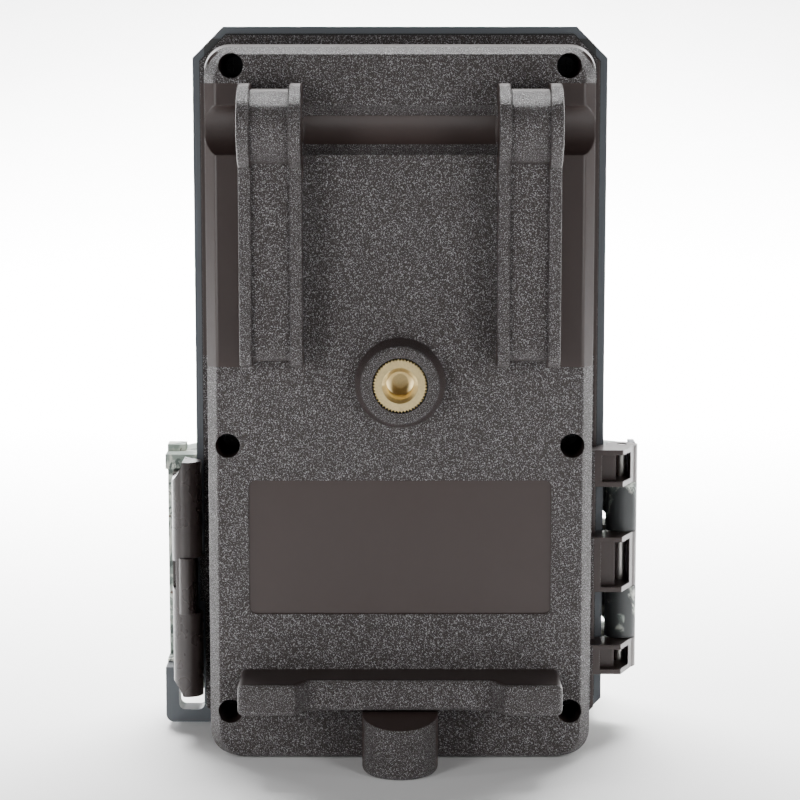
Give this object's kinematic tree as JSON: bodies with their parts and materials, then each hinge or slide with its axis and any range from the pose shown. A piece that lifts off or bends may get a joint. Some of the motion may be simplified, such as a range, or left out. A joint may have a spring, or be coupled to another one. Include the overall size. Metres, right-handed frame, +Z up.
{
  "type": "trail camera",
  "caption": "Weatherproof trail camera in a hinged two-half case with latch, padlock loop, strap rails, cable-lock eyelets and brass tripod sockets.",
  "frame": {"origin": "middle of the mouth of the bottom tripod socket, in the bottom plane", "axes": "+Z up, +Y out of the back towards the tree, the lens looks along -Y, the latch is on the +X side"},
  "size_m": [0.0939, 0.0781, 0.139],
  "materials": {
    "back_plastic": "dark brown moulded ABS, fine spark texture",
    "camo_plastic": "camouflage film in grey, green and brown on moulded ABS",
    "latch_plastic": "satin dark brown ABS",
    "inner_plastic": "black moulded ABS",
    "black_plastic": "satin black plastic",
    "key_plastic": "satin dark grey keys",
    "brass": "machined brass, knurled",
    "pin_steel": "ground steel",
    "spring_steel": "nickel plated",
    "screw_steel": "black zinc plated screws",
    "seal_rubber": "soft black rubber",
    "cell_jacket": "plain shrink sleeve",
    "clear_window": "clear acrylic",
    "lens_glass": "coated glass",
    "dark_window": "dark infrared passing acrylic",
    "fresnel_plastic": "milky ribbed polyethylene",
    "screen": "screen glass, off",
    "circuit_board": "green solder mask",
    "chip_black": "black epoxy",
    "card_plastic": "plain memory card",
    "led_epoxy": "clear epoxy"
  },
  "bodies": {
    "back_half": {"back_shell": "back_plastic", "rear_tripod_insert": "brass", "bottom_tripod_insert": "brass", "battery_tray": "inner_plastic", "aa_cells": "cell_jacket", "battery_springs": "spring_steel", "battery_contacts": "spring_steel", "tray_screws": "screw_steel", "hinge_pin": "pin_steel"},
    "front_half": {"front_shell": "camo_plastic", "case_gasket": "seal_rubber", "inner_panel": "inner_plastic", "panel_screws": "screw_steel", "lcd_window": "clear_window", "lcd_module": "screen", "main_board": "circuit_board", "board_components": "chip_black", "tact_switches": "chip_black", "slide_switch": "pin_steel", "card_socket": "pin_steel", "memory_card": "card_plastic", "dc_jack": "chip_black", "usb_socket": "pin_steel", "sensor_board": "circuit_board", "lens_barrel": "black_plastic", "lens_element": "lens_glass", "lens_bezel": "black_plastic", "lens_window": "lens_glass", "pir_sensor": "pin_steel", "pir_lens": "fresnel_plastic", "pir_frame": "black_plastic", "ir_board": "circuit_board", "ir_leds": "led_epoxy", "ir_window": "dark_window", "side_windows": "dark_window", "microphone": "pin_steel", "speaker": "black_plastic", "latch_pin": "pin_steel"},
    "latch": {"latch_lever": "latch_plastic"},
    "port_cover": {"jack_cover": "seal_rubber"},
    "power_switch": {"power_knob": "key_plastic"},
    "key_ok_body": {"key_ok": "key_plastic"},
    "key_up_body": {"key_up": "key_plastic"},
    "key_down_body": {"key_down": "key_plastic"},
    "key_left_body": {"key_left": "key_plastic"},
    "key_right_body": {"key_right": "key_plastic"},
    "key_menu_body": {"key_menu": "key_plastic"},
    "key_shot_body": {"key_shot": "key_plastic"}
  },
  "joints": [
    {"name": "case_hinge", "type": "hinge", "parent": "back_half", "child": "front_half", "pos_m": [-0.0439, -0.0316, 0.035], "axis": [0, 0, -1], "range_deg": [0, 115]},
    {"name": "latch_pivot", "type": "hinge", "parent": "front_half", "child": "latch", "pos_m": [0.0433, -0.0386, 0.032], "axis": [0, 0, -1], "range_deg": [0, 70]},
    {"name": "port_cover_hinge", "type": "hinge", "parent": "front_half", "child": "port_cover", "pos_m": [0, -0.0546, 0.0008], "axis": [-1, 0, 0], "range_deg": [0, 100]},
    {"name": "power_slide", "type": "slide", "parent": "front_half", "child": "power_switch", "axis": [0, 0, 1], "range_m": [-0.003, 0.003]},
    {"name": "key_ok_press", "type": "slide", "parent": "front_half", "child": "key_ok_body", "axis": [0, -1, 0], "range_m": [0, 0.0004], "stiffness_N_per_m": 800},
    {"name": "key_up_press", "type": "slide", "parent": "front_half", "child": "key_up_body", "axis": [0, -1, 0], "range_m": [0, 0.0004], "stiffness_N_per_m": 800},
    {"name": "key_down_press", "type": "slide", "parent": "front_half", "child": "key_down_body", "axis": [0, -1, 0], "range_m": [0, 0.0004], "stiffness_N_per_m": 800},
    {"name": "key_left_press", "type": "slide", "parent": "front_half", "child": "key_left_body", "axis": [0, -1, 0], "range_m": [0, 0.0004], "stiffness_N_per_m": 800},
    {"name": "key_right_press", "type": "slide", "parent": "front_half", "child": "key_right_body", "axis": [0, -1, 0], "range_m": [0, 0.0004], "stiffness_N_per_m": 800},
    {"name": "key_menu_press", "type": "slide", "parent": "front_half", "child": "key_menu_body", "axis": [0, -1, 0], "range_m": [0, 0.0004], "stiffness_N_per_m": 800},
    {"name": "key_shot_press", "type": "slide", "parent": "front_half", "child": "key_shot_body", "axis": [0, -1, 0], "range_m": [0, 0.0004], "stiffness_N_per_m": 800}
  ]
}
